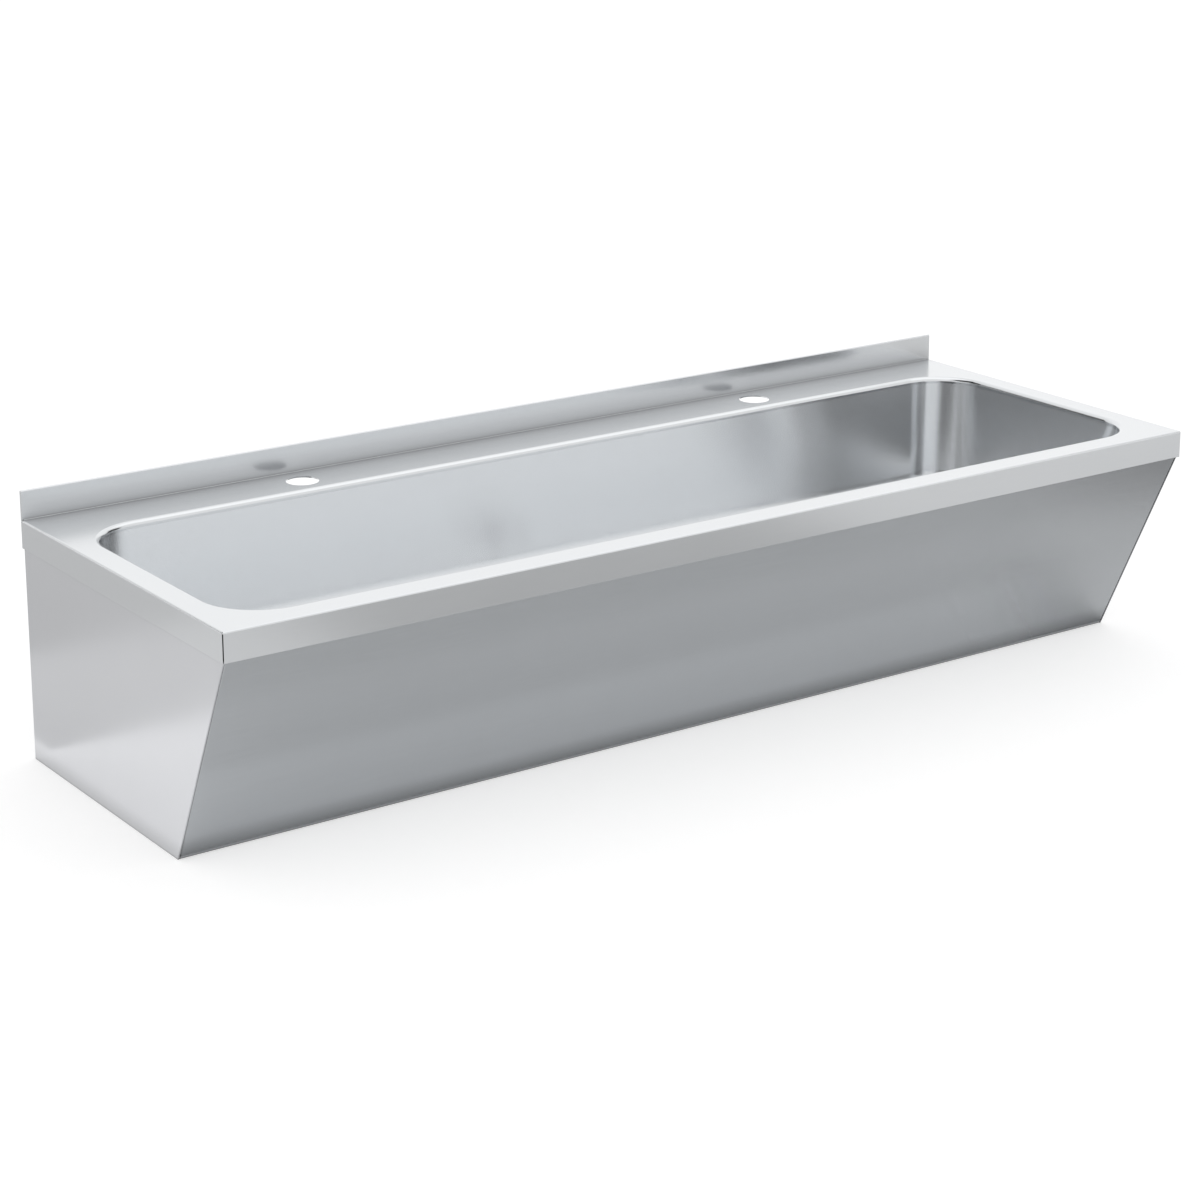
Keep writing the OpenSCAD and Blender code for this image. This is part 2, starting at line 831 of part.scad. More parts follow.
// Hat channel across the floor of the bowl
module floor_channel() {
  half_w = channel_w / 2;
  translate([channel_x, 0, floor_under])
    along_y(floor_front_y + floor_r + hem_t, bowl_back_y - floor_r - 2 * hem_t)
      folded([
        [-half_w - channel_flange_w, 0],
        [-half_w, 0],
        [-half_w, -channel_h],
        [half_w, -channel_h],
        [half_w, 0],
        [half_w + channel_flange_w, 0]
      ], -1);
}

module left_floor_channel() color("#b4b7ba") mirror([1, 0, 0]) floor_channel();

module right_floor_channel() color("#b4b7ba") floor_channel();

// Damping pad stuck under the floor of the bowl
module sound_pad() {
  translate([pad_from, floor_mid_y - pad_w / 2, floor_under - pad_t])
    cube([pad_to - pad_from, pad_w, pad_t]);
}

module left_sound_pad() color("#2b2c2e") mirror([1, 0, 0]) sound_pad();

module right_sound_pad() color("#2b2c2e") sound_pad();

// Bonding tag welded to the back of the bowl
module earth_tag() color("#b9bcbf") {
  difference() {
    along_x(-earth_w / 2, earth_w / 2)
      folded([
        [bowl_back_y, earth_z + earth_leg],
        [bowl_back_y, earth_z],
        [bowl_back_y + earth_leg, earth_z]
      ], 1);
    translate([0, earth_hole_y, earth_z - over])
      cylinder(h = sheet + 2 * over, d = earth_hole_d, $fn = small_fn);
  }
}

module earth_bolt() color("#b5a05a")
  translate([0, earth_hole_y, earth_z + sheet]) {
    translate([0, 0, -earth_bolt_l]) cylinder(h = earth_bolt_l, d = stud_d, $fn = small_fn);
    cylinder(h = earth_head_h, r = nut_flats / sqrt(3), $fn = hex_sides);
  }

module earth_nut() color("#b5a05a")
  translate([0, earth_hole_y, earth_z]) hex_nut(-nut_h, 0, nut_flats, stud_d / 2 + thread_gap);

// Waste with its flange in the dish, its threaded tail and the seat of the strainer
module waste_body() color("#d0d2d4")
  translate([0, waste_y, 0])
    difference() {
      union() {
        translate([0, 0, flange_z])
          cylinder(h = waste_flange_t - flange_bevel, d = waste_flange_d, $fn = round_fn);
        translate([0, 0, flange_top_z - flange_bevel])
          cylinder(
            h = flange_bevel,
            d1 = waste_flange_d,
            d2 = waste_flange_d - 2 * flange_bevel,
            $fn = round_fn
          );
        translate([0, 0, tail_z]) cylinder(h = flange_z - tail_z, d = tail_d, $fn = round_fn);
      }
      translate([0, 0, tail_z - over])
        cylinder(h = flange_top_z - tail_z + 2 * over, d = waste_bore_d, $fn = round_fn);
      translate([0, 0, flange_top_z - seat_depth])
        cylinder(h = seat_depth + over, r = seat_r, $fn = round_fn);
    }

// Perforated strainer that lifts out by its knob
module strainer() color("#c6c9cc")
  translate([0, waste_y, 0]) {
    skirt_r = waste_bore_d / 2 - run_gap;
    difference() {
      translate([0, 0, strainer_z]) cylinder(h = strainer_t, d = strainer_d, $fn = round_fn);
      for (k = [0 : len(strainer_ring_shares) - 1], i = [1 : strainer_ring_counts[k]])
        rotate([0, 0, 4 * square_turn * i / strainer_ring_counts[k]])
          translate([strainer_ring_shares[k] * strainer_d / 2, 0, strainer_z - over])
            cylinder(h = strainer_t + 2 * over, d = strainer_hole_d, $fn = small_fn);
    }
    ring(strainer_z - skirt_h, strainer_z, skirt_r, skirt_r - skirt_t);
    translate([0, 0, strainer_z + strainer_t])
      cylinder(h = strainer_knob_h - knob_head_h, d = knob_stem_d, $fn = small_fn);
    translate([0, 0, strainer_z + strainer_t + strainer_knob_h - knob_head_h])
      cylinder(h = knob_head_h, d = knob_head_d, $fn = small_fn);
  }

module waste_top_gasket() color("#1f2022")
  translate([0, waste_y, 0]) ring(dish_z, flange_z, waste_flange_d / 2 - edge_gap, gasket_bore_r);

module waste_gasket() color("#1f2022")
  translate([0, waste_y, 0]) ring(dish_under - gasket_t, dish_under, gasket_bore_r + gasket_w, gasket_bore_r);

module waste_slip_washer() color("#e4e1d6")
  translate([0, waste_y, 0])
    ring(dish_under - gasket_t - slip_t, dish_under - gasket_t, gasket_bore_r + gasket_w, gasket_bore_r);

module waste_backnut() color("#b3a266")
  translate([0, waste_y, dish_under - gasket_t - slip_t])
    hex_nut(-backnut_h, 0, backnut_flats, tail_d / 2 + thread_gap);

// Ribs for the fingers round a nut or ring of the trap
module grip_ribs(z0, z1, r, count) {
  for (i = [1 : count])
    rotate([0, 0, 4 * square_turn * i / count])
      translate([r, 0, z0]) cylinder(h = z1 - z0, d = rib_d, $fn = small_fn);
}

module trap_inlet_nut() color("#dcdcd8")
  translate([0, waste_y, 0])
    difference() {
      union() {
        translate([0, 0, inlet_lip_z])
          cylinder(h = tail_z + inlet_nut_up - inlet_lip_z, d = inlet_nut_d - rib_d, $fn = round_fn);
        grip_ribs(inlet_lip_z, tail_z + inlet_nut_up, (inlet_nut_d - rib_d) / 2, nut_ribs);
      }
      translate([0, 0, inlet_lip_z - over])
        cylinder(h = lip_h + 2 * over, r = neck_r + run_gap, $fn = round_fn);
      translate([0, 0, collar_z])
        cylinder(h = tail_z + inlet_nut_up - collar_z + over, r = tail_d / 2 + thread_gap, $fn = round_fn);
    }

module trap_inlet_washer() color("#1f2022")
  translate([0, waste_y, 0]) ring(tail_z - inlet_washer_t, tail_z, collar_r, inlet_bore_r);

// Bottle of the trap with its collar, dip tube and outlet spigot
module trap_body() color("#e6e6e2")
  translate([0, waste_y, 0]) {
    bottle_r = bottle_d / 2;
    difference() {
      union() {
        translate([0, 0, bottle_rim_z]) cylinder(h = bottle_h, r = bottle_r, $fn = round_fn);
        translate([0, 0, bottle_top_z]) cylinder(h = collar_z - bottle_top_z, r = neck_r, $fn = round_fn);
        translate([0, 0, collar_z]) cylinder(h = collar_h, r = collar_r, $fn = round_fn);
        translate([0, 0, outlet_z])
          rotate([-square_turn, 0, 0]) cylinder(h = spigot_y, r = spigot_r, $fn = round_fn);
      }
      translate([0, 0, bottle_rim_z - over])
        cylinder(h = bottle_h - trap_wall + over, r = bottle_r - trap_wall, $fn = round_fn);
      translate([0, 0, bottle_top_z - trap_wall - over])
        cylinder(
          h = collar_z + collar_h - bottle_top_z + trap_wall + 2 * over,
          r = inlet_bore_r,
          $fn = round_fn
        );
      translate([0, 0, outlet_z])
        rotate([-square_turn, 0, 0])
          cylinder(h = spigot_y + over, r = pipe_d / 2 + pipe_fit, $fn = round_fn);
    }
    ring(dip_z, bottle_top_z - trap_wall, inlet_bore_r + dip_wall, inlet_bore_r);
  }

// Cup under the bottle, which is taken off to clean the trap
module trap_cup() color("#e6e6e2")
  translate([0, waste_y, 0]) {
    difference() {
      union() {
        translate([0, 0, cup_flange_z])
          cylinder(h = cup_flange_t, r = bottle_d / 2 - thread_gap, $fn = round_fn);
        translate([0, 0, cup_flange_z - cup_h]) cylinder(h = cup_h, r = cup_r, $fn = round_fn);
      }
      translate([0, 0, cup_flange_z - cup_h + trap_wall])
        cylinder(h = cup_h + cup_flange_t, r = cup_r - trap_wall, $fn = round_fn);
    }
  }

module trap_cup_seal() color("#1f2022")
  translate([0, waste_y, 0])
    ring(
      cup_flange_z + cup_flange_t,
      cup_flange_z + cup_flange_t + cup_seal_t,
      bottle_d / 2 - thread_gap,
      cup_r - trap_wall
    );

// Ring nut that holds the cup to the bottle
module trap_cup_ring() color("#dcdcd8")
  translate([0, waste_y, 0])
    difference() {
      union() {
        translate([0, 0, ring_lip_z])
          cylinder(
            h = bottle_rim_z + ring_up - ring_lip_z,
            r = bottle_d / 2 + run_gap + ring_wall,
            $fn = round_fn
          );
        grip_ribs(ring_lip_z, bottle_rim_z + ring_up, bottle_d / 2 + run_gap + ring_wall, ring_ribs);
      }
      translate([0, 0, ring_lip_z - over])
        cylinder(h = ring_lip_t + 2 * over, r = cup_r + run_gap, $fn = round_fn);
      translate([0, 0, ring_lip_z + ring_lip_t])
        cylinder(
          h = bottle_rim_z + ring_up - ring_lip_z - ring_lip_t + over,
          r = bottle_d / 2 + run_gap,
          $fn = round_fn
        );
    }

// Places its children on the outlet, with z along the pipe
module at_outlet() translate([0, waste_y, outlet_z]) rotate([-square_turn, 0, 0]) children();

module outlet_nut() color("#dcdcd8")
  at_outlet()
    difference() {
      start = spigot_y + outlet_seal_l + outlet_lip_l - outlet_nut_l;
      union() {
        translate([0, 0, start]) cylinder(h = outlet_nut_l, d = outlet_nut_d - rib_d, $fn = round_fn);
        grip_ribs(start, start + outlet_nut_l, (outlet_nut_d - rib_d) / 2, nut_ribs);
      }
      translate([0, 0, start - over])
        cylinder(h = outlet_nut_l - outlet_lip_l + over, r = spigot_r + pipe_fit, $fn = round_fn);
      translate([0, 0, start])
        cylinder(h = outlet_nut_l + over, r = pipe_d / 2 + pipe_fit, $fn = round_fn);
    }

module outlet_seal() color("#1f2022")
  at_outlet() ring(spigot_y, spigot_y + outlet_seal_l, spigot_r, pipe_d / 2 + thread_gap);

// Outlet pipe with the bead that stops a wall socket clear of the nut
module outlet_pipe() color("#e6e6e2")
  at_outlet() {
    bead_start = spigot_y + outlet_seal_l + outlet_lip_l + outlet_bead_gap;
    ring(pipe_start_y, half_d - waste_y, pipe_d / 2, pipe_d / 2 - pipe_wall);
    rotate_extrude($fn = round_fn)
      polygon([
        [pipe_d / 2 - pipe_wall / 2, bead_start],
        [pipe_d / 2 + outlet_bead_h, bead_start],
        [pipe_d / 2 + outlet_bead_h, bead_start + outlet_bead_w - outlet_bead_h],
        [pipe_d / 2, bead_start + outlet_bead_w],
        [pipe_d / 2 - pipe_wall / 2, bead_start + outlet_bead_w]
      ]);
  }

deck();
bowl();
front_panel();
left_side_panel();
right_side_panel();
left_side_angle();
right_side_angle();
front_stiffener();
rear_rail();
left_casing_tie();
right_casing_tie();
casing_screws();
casing_rivnuts();
left_wall_bracket();
right_wall_bracket();
bracket_studs();
bracket_washers();
bracket_nuts();
left_floor_channel();
right_floor_channel();
left_sound_pad();
right_sound_pad();
earth_tag();
earth_bolt();
earth_nut();
waste_body();
strainer();
waste_top_gasket();
waste_gasket();
waste_slip_washer();
waste_backnut();
trap_inlet_nut();
trap_inlet_washer();
trap_body();
trap_cup();
trap_cup_seal();
trap_cup_ring();
outlet_nut();
outlet_seal();
outlet_pipe();
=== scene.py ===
"""Wall-hung washing trough of brushed stainless sheet, with its waste, trap and fixings.

Sizes of the trough are in millimetres: x along it, y towards the wall, z up from its base.
Sizes of the studio are in metres, in the same directions.
"""

import math

import bmesh
import bpy
from mathutils import Matrix, Vector


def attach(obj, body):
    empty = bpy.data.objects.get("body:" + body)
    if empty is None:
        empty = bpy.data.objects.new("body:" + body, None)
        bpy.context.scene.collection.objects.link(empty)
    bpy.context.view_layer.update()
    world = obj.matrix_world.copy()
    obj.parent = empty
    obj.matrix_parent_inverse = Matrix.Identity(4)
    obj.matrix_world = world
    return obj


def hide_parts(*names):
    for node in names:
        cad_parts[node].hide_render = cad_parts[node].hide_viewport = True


MM = 0.001

# Sizes of the sheet metal, the same as the solids
HALF_LENGTH = 600.0
FRONT_Y = -212.5
WALL_Y = 212.5
DECK_Z = 254.5
APRON_Z = 224.5
SHEET = 1.5
FOLD = 2.0
INNER_FOLD = 0.5
HEM = 3.0
UPSTAND_TOP = 285.0
SLIT = 0.8
TAP_X = 300.0
TAP_Y = 174.5
TAP_R = 17.5
CORNER_X = 510.0
CORNER_FRONT_Y = -120.5
CORNER_BACK_Y = 81.5
CORNER_R = 60.0
LIP_R = 5.0
LIP_Z = 247.5
FLOOR_Z = 120.5
FLOOR_R = 20.0
FRONT_LEAN = 107.0
FRONT_RISE = 228.5
SLOPE = math.atan(FRONT_LEAN / FRONT_RISE)
WASTE_Y = 10.2353
WASTE_HOLE_R = 24.2
DISH_R = 45.0
DISH_DROP = 3.0
# Radius and drop of each ring of the dish round the waste, inwards from its rim
DISH_RINGS = (
    (44.2, 0.25),
    (42.6, 1.6),
    (41.6, 2.5),
    (40.6, 2.9),
    (39.8, DISH_DROP),
    (WASTE_HOLE_R, DISH_DROP),
)

# Where the deck's folds begin
FOLD_X = HALF_LENGTH - FOLD
FOLD_Y = FRONT_Y + FOLD
FOLD_Z = DECK_Z - FOLD
FOOT_Y = WALL_Y - HEM - INNER_FOLD

# Sides of rounds and steps of bends
RING_SIDES = 128
TAP_SIDES = 64
DISH_SIDES = 96
BEND_STEPS = 6
LIP_STEPS = 10
FLOOR_STEPS = 14

# Widths of broken edges, and the angles from which an edge is broken or drawn sharp
APRON_EDGE = 0.6
DECK_EDGE = 0.15
HEM_EDGE = HEM / 2 - 0.02
BROKEN_DEGREES = 50.0
CREASE_DEGREES = 32.0
FLAT_DEGREES = 0.6

# Distances within which places count as the same
NEAR = 0.01
NEAR_SHEET = 0.05
SKIN_MERGE = 0.002
COPY_MERGE = 0.001

# Painted shade, drawn into the base colour with ambient occlusion: how far in mm it looks for other
# surfaces, and the share of the colour's brightness that is left when they surround it. The first
# darkens the foot of a fold, and the second a joint.
PAINTED_SHADE_STEPS = ((30.0, 0.35), (3.0, 0.15))
OPEN_SHARE = 0.9

# Part of a texture's range over which colour and roughness change
TEXTURE_LOW = 0.3
TEXTURE_HIGH = 0.7
HAZE = 0.004
CLOUD_SCALE = 9.0
SCRATCH_HEIGHT = 0.0002
DIMPLE_HEIGHT = 0.0003
MOULDED_SPREAD = 0.05
QUARTER_TURN = 0.25

FLOOR_SIZE = 30.0
FLOOR_GLOW = 0.5


# --- colours and nodes ---


def linear(code):
    """Linear red, green, blue and alpha of an sRGB hex colour."""
    parts = [int(code[i : i + 2], 16) / 255 for i in (1, 3, 5)]
    return [c / 12.92 if c <= 0.04045 else ((c + 0.055) / 1.055) ** 2.4 for c in parts] + [1.0]


def add(tree, kind, inputs=None, **settings):
    """Adds a node with its settings; inputs maps a socket to a value or to a node's output."""
    made = tree.nodes.new("ShaderNode" + kind)
    for name, value in settings.items():
        setattr(made, name, value)
    for socket, value in (inputs or {}).items():
        if isinstance(value, bpy.types.NodeSocket):
            tree.links.new(value, made.inputs[socket])
        else:
            made.inputs[socket].default_value = value
    return made


def new_material(name):
    """An empty material and its node tree."""
    material = bpy.data.materials.new(name)
    material.use_nodes = True
    material.node_tree.nodes.clear()
    return material, material.node_tree


def surface(tree, shader):
    add(tree, "OutputMaterial", {"Surface": shader.outputs[0]})


def graded(tree, texture, dark, light, rough, spread):
    """Colour and roughness that follow a texture from its dark to its light parts."""
    tint = add(tree, "ValToRGB", {"Fac": texture})
    stops = ((TEXTURE_LOW, dark), (TEXTURE_HIGH, light))
    for stop, (position, code) in zip(tint.color_ramp.elements, stops):
        stop.position = position
        stop.color = linear(code)
    polish = add(
        tree,
        "MapRange",
        {
            "Value": texture,
            "From Min": TEXTURE_LOW,
            "From Max": TEXTURE_HIGH,
            "To Min": rough - spread,
            "To Max": rough + spread,
        },
    )
    return tint.outputs[0], polish.outputs[0]


def with_painted_shade(tree, colour):
    """The colour with painted shade: darker where other surfaces close round the metal, in creases
    and joints.
    """
    for reach, least in PAINTED_SHADE_STEPS:
        shut = add(tree, "AmbientOcclusion", {"Distance": MM * reach}, samples=8)
        shade = add(
            tree,
            "MapRange",
            {
                "Value": shut.outputs["AO"],
                "From Min": 0.0,
                "From Max": OPEN_SHARE,
                "To Min": least,
                "To Max": 1.0,
            },
        )
        mixed = add(
            tree,
            "Mix",
            {0: 1.0, 6: colour, 7: shade.outputs[0]},
            data_type="RGBA",
            blend_type="MULTIPLY",
        )
        colour = mixed.outputs[2]
    return colour


def steel(name, dark, light, rough, grain, spread=0.02, bump=0.015, turned=0.0):
    """Stainless sheet ground with fine belts: metal, with soft streaks along the grain.

    grain is the size in mm of a streak along x, y and z. The real scratches are under 0.1 mm
    wide, so the streaks are drawn as coarse as the render needs to show them. turned stretches
    reflections upright, across a grain that runs round the piece.
    """
    material, tree = new_material(name)
    place = add(tree, "TexCoord").outputs["Object"]
    stretched = add(tree, "Mapping", {"Vector": place, "Scale": [1 / (MM * g) for g in grain]})
    streaks = add(
        tree,
        "TexNoise",
        {"Vector": stretched.outputs[0], "Scale": 1.0, "Detail": 3.0, "Roughness": 0.6},
    )
    clouds = add(
        tree,
        "TexNoise",
        {"Vector": place, "Scale": CLOUD_SCALE, "Detail": 2.0, "Roughness": 0.5},
    )
    both = add(
        tree,
        "Mix",
        {0: HAZE / (HAZE + spread), 2: streaks.outputs["Fac"], 3: clouds.outputs["Fac"]},
    )
    colour, polish = graded(tree, both.outputs[0], dark, light, rough, spread)
    scratch = add(
        tree,
        "Bump",
        {"Strength": bump, "Distance": SCRATCH_HEIGHT, "Height": streaks.outputs["Fac"]},
    )
    # The base colour carries painted shade in creases and joints
    shader = add(
        tree,
        "BsdfPrincipled",
        {
            "Base Color": with_painted_shade(tree, colour),
            "Metallic": 1.0,
            "Roughness": polish,
            "Normal": scratch.outputs[0],
        },
    )
    if turned:
        shader.inputs["Anisotropic"].default_value = turned
        shader.inputs["Anisotropic Rotation"].default_value = QUARTER_TURN
        round_way = add(tree, "Tangent", direction_type="RADIAL", axis="Z")
        tree.links.new(round_way.outputs[0], shader.inputs["Tangent"])
    surface(tree, shader)
    return material


def moulded(name, dark, light, rough, size, bump, metallic=0.0, ior=1.5):
    """Moulded, cast or rubber surface: a fine all-over texture of that size in mm."""
    material, tree = new_material(name)
    place = add(tree, "TexCoord").outputs["Object"]
    texture = add(
        tree,
        "TexNoise",
        {"Vector": place, "Scale": 1 / (MM * size), "Detail": 4.0, "Roughness": 0.55},
    ).outputs["Fac"]
    colour, polish = graded(tree, texture, dark, light, rough, MOULDED_SPREAD)
    dimple = add(
        tree, "Bump", {"Strength": bump, "Distance": DIMPLE_HEIGHT, "Height": texture}
    )
    settings = {
        "Base Color": colour,
        "Metallic": metallic,
        "Roughness": polish,
        "Normal": dimple.outputs[0],
    }
    if not metallic:
        settings["IOR"] = ior
    surface(tree, add(tree, "BsdfPrincipled", settings))
    return material


# --- mesh helpers ---


def near(a, b):
    return abs(a - b) < NEAR


def new_edges(made):
    """The new vertices of an extrusion, and its edges whose two ends are both new."""
    verts = {g for g in made if isinstance(g, bmesh.types.BMVert)}
    edges = [g for g in made if isinstance(g, bmesh.types.BMEdge)]
    return list(verts), [e for e in edges if all(v in verts for v in e.verts)]


def draw(bm, edges, way):
    """Extrudes edges straight by a vector."""
    made = bmesh.ops.extrude_edge_only(bm, edges=edges)["geom"]
    bmesh.ops.translate(bm, verts=new_edges(made)[0], vec=Vector(way))


def fold(bm, edges, centre, axis, degrees):
    """Extrudes edges round an axis, as a press brake bends a sheet, and returns the far edges."""
    turn = Matrix.Rotation(math.radians(degrees) / BEND_STEPS, 3, Vector(axis))
    for _ in range(BEND_STEPS):
        made = bmesh.ops.extrude_edge_only(bm, edges=edges)["geom"]
        verts, edges = new_edges(made)
        bmesh.ops.rotate(bm, verts=verts, cent=Vector(centre), matrix=turn)
    return edges


def loop_edges(verts):
    return list({e for v in verts for e in v.link_edges if all(w in verts for w in e.verts)})


def closed_loop(bm, places):
    """A closed loop of edges through a few places."""
    verts = [bm.verts.new(p) for p in places]
    return [bm.edges.new((verts[i - 1], verts[i])) for i in range(len(verts))]


def round_loop(bm, radius, x, y, z, sides):
    made = bmesh.ops.create_circle(
        bm, segments=sides, radius=radius, matrix=Matrix.Translation((x, y, z))
    )["verts"]
    return loop_edges(set(made))


def trough_loop(bm, radius, z, front_y=CORNER_FRONT_Y):
    """Rounded rectangle round the bowl: a circle whose quarters are moved to the corners."""
    turn = Matrix.Rotation(math.pi / RING_SIDES, 4, "Z")
    made = bmesh.ops.create_circle(bm, segments=RING_SIDES, radius=radius, matrix=turn)["verts"]
    for v in made:
        v.co.x += math.copysign(CORNER_X, v.co.x)
        v.co.y += CORNER_BACK_Y if v.co.y > 0 else front_y
        v.co.z = z
    return loop_edges(set(made))


def fill(bm, edges):
    """Fills the level area between loops with triangles."""
    bmesh.ops.triangle_fill(bm, use_beauty=True, edges=edges, normal=Vector((0, 0, 1)))


def bridge_all(bm, loops):
    for a, b in zip(loops, loops[1:]):
        bmesh.ops.bridge_loops(bm, edges=a + b)


def rim(bm, test):
    """Open edges whose ends both pass the test."""
    return [e for e in bm.edges if e.is_boundary and all(test(v.co) for v in e.verts)]


def face_up(bm):
    """Merges the skin and turns its faces so that the largest one looks up."""
    bmesh.ops.remove_doubles(bm, verts=bm.verts, dist=SKIN_MERGE)
    bmesh.ops.recalc_face_normals(bm, faces=bm.faces)
    if max(bm.faces, key=lambda f: f.calc_area()).normal.z < 0:
        bmesh.ops.reverse_faces(bm, faces=bm.faces)


def thickened(bm):
    """The open skin as a closed sheet; its hidden side gets the piece's second material."""
    count = len(bm.faces)
    mesh = bpy.data.meshes.new("skin")
    bm.to_mesh(mesh)
    bm.free()
    skin = bpy.data.objects.new("skin", mesh)
    bpy.context.scene.collection.objects.link(skin)
    wall = skin.modifiers.new("wall", "SOLIDIFY")
    wall.thickness = SHEET
    wall.offset = -1.0
    wall.use_even_offset = True
    wall.use_quality_normals = True
    solid = bmesh.new()
    solid.from_object(skin, bpy.context.evaluated_depsgraph_get())
    bpy.data.objects.remove(skin)
    bpy.data.meshes.remove(mesh)
    solid.faces.ensure_lookup_table()
    for f in solid.faces[count : 2 * count]:
        f.material_index = 1
    return solid


def bevel(bm, edges, width, segments, clamp=False):
    """Rounds edges over a width."""
    bmesh.ops.bevel(
        bm,
        geom=edges,
        offset=width,
        offset_type="OFFSET",
        segments=segments,
        profile=0.5,
        affect="EDGES",
        material=-1,
        clamp_overlap=clamp,
    )


def soften(bm, width):
    """Breaks the sharp edges, as deburring does."""
    least = math.radians(BROKEN_DEGREES)
    sharp = [e for e in bm.edges if len(e.link_faces) == 2 and e.calc_face_angle(0.0) > least]
    bevel(bm, sharp, width, 2, clamp=True)


def piece(name, bm, body, finishes, node):
    """Makes a mesh piece that stands for a CAD node and rides on its body."""
    bmesh.ops.scale(bm, vec=Vector((MM, MM, MM)), verts=bm.verts)
    crease = math.radians(CREASE_DEGREES)
    for e in bm.edges:
        e.smooth = len(e.link_faces) == 2 and e.calc_face_angle(0.0) < crease
    for f in bm.faces:
        f.smooth = True
    mesh = bpy.data.meshes.new(name)
    bm.to_mesh(mesh)
    bm.free()
    for finish in finishes:
        mesh.materials.append(finish)
    made = bpy.data.objects.new(name, mesh)
    bpy.context.scene.collection.objects.link(made)
    weigh = made.modifiers.new("flat faces stay flat", "WEIGHTED_NORMAL")
    weigh.keep_sharp = True
    weigh.weight = 100
    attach(made, body)
    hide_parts(node)


# --- the trough's sheets ---


def flat_and_lip(bm):
    """Level part of the deck with its tap holes, and the lip rolled down into the opening."""
    corners = ((-FOLD_X, FOLD_Y), (FOLD_X, FOLD_Y), (FOLD_X, FOOT_Y), (-FOLD_X, FOOT_Y))
    edges = closed_loop(bm, [(x, y, DECK_Z) for x, y in corners])
    opening = trough_loop(bm, CORNER_R + LIP_R, DECK_Z)
    edges += opening
    for side in (-1, 1):
        edges += round_loop(bm, TAP_R, side * TAP_X, TAP_Y, DECK_Z, TAP_SIDES)
    fill(bm, edges)
    lip = [opening]
    for i in range(1, LIP_STEPS + 1):
        turn = math.radians(90) * i / LIP_STEPS
        drop = LIP_R * (1 - math.cos(turn))
        lip.append(trough_loop(bm, CORNER_R + LIP_R * (1 - math.sin(turn)), DECK_Z - drop))
    lip.append(trough_loop(bm, CORNER_R, LIP_Z))
    bridge_all(bm, lip)


def fold_down_aprons(bm):
    """Folds the end aprons and the front apron down."""
    drop = APRON_Z - FOLD_Z
    for side in (-1, 1):
        edge = rim(bm, lambda c: near(c.x, side * FOLD_X) and near(c.z, DECK_Z))
        edge = fold(bm, edge, (side * FOLD_X, 0, FOLD_Z), (0, 1, 0), side * 90)
        draw(bm, edge, (0, 0, drop))
        back = rim(bm, lambda c: side * c.x > FOLD_X - NEAR and near(c.y, FOOT_Y))
        back = [e for e in back if any(v.co.z < DECK_Z - NEAR for v in e.verts)]
        draw(bm, back, (0, WALL_Y - FOOT_Y, 0))
    edge = rim(bm, lambda c: near(c.y, FOLD_Y) and near(c.z, DECK_Z))
    edge = fold(bm, edge, (0, FOLD_Y, FOLD_Z), (1, 0, 0), 90)
    draw(bm, edge, (0, 0, drop))


def close_corners(bm):
    """Rounds the front corners above the fold, and leaves a slit between the aprons below it."""
    for side in (-1, 1):
        arc = rim(
            bm,
            lambda c: near(c.x, side * FOLD_X) and c.y < FOLD_Y + NEAR and c.z > FOLD_Z - NEAR,
        )
        fold(bm, arc, (side * FOLD_X, FOLD_Y, FOLD_Z), (0, 0, 1), side * 90)
        front_end = rim(
            bm,
            lambda c: near(c.x, side * FOLD_X) and c.y < FRONT_Y + NEAR and c.z < FOLD_Z + NEAR,
        )
        draw(bm, front_end, (side * (FOLD - SLIT), 0, 0))
        side_end = rim(
            bm,
            lambda c: side * c.x > HALF_LENGTH - NEAR and near(c.y, FOLD_Y) and c.z < FOLD_Z + NEAR,
        )
        draw(bm, side_end, (0, SLIT - FOLD, 0))


def mitre_slits(bm):
    """Cuts the apron ends at the slits on the diagonal, so that their inner edges don't cross."""
    for v in bm.verts:
        inner_x = abs(abs(v.co.x) - HALF_LENGTH + SHEET) < NEAR_SHEET
        inner_y = abs(v.co.y - FRONT_Y - SHEET) < NEAR_SHEET
        if inner_y and abs(abs(v.co.x) - HALF_LENGTH + SLIT) < NEAR_SHEET:
            v.co.x -= math.copysign(SHEET, v.co.x)
        elif inner_x and abs(v.co.y - FRONT_Y - SLIT) < NEAR_SHEET:
            v.co.y += SHEET


def round_apron_edges(bm):
    """Rounds the long lower edges on the outer faces of the aprons."""
    low = [
        e
        for e in bm.edges
        if all(v.co.z < APRON_Z + NEAR for v in e.verts)
        and any(near(abs(v.co.x), HALF_LENGTH) or near(v.co.y, FRONT_Y) for v in e.verts)
        and e.calc_length() > 100
    ]
    bevel(bm, low, APRON_EDGE, 3)


def add_hem(bm):
    """Adds the doubled upstand with its rolled top."""
    outline = (
        (WALL_Y - HEM, DECK_Z - SHEET),
        (WALL_Y, DECK_Z - SHEET),
        (WALL_Y, UPSTAND_TOP),
        (WALL_Y - HEM, UPSTAND_TOP),
    )
    loop = closed_loop(bm, [(-HALF_LENGTH, y, z) for y, z in outline])
    bar = bmesh.ops.contextual_create(bm, geom=loop)["faces"]
    made = bmesh.ops.extrude_face_region(bm, geom=bar)["geom"]
    verts = [g for g in made if isinstance(g, bmesh.types.BMVert)]
    bmesh.ops.translate(bm, verts=verts, vec=Vector((2 * HALF_LENGTH, 0, 0)))
    bar_faces = {f for v in verts for f in v.link_faces} | set(bar)
    bmesh.ops.recalc_face_normals(bm, faces=list(bar_faces))
    tops = {
        e
        for f in bar_faces
        for e in f.edges
        if all(v.co.z > UPSTAND_TOP - NEAR for v in e.verts)
        and abs(e.verts[0].co.x - e.verts[1].co.x) > 1
    }
    bevel(bm, list(tops), HEM_EDGE, 5)


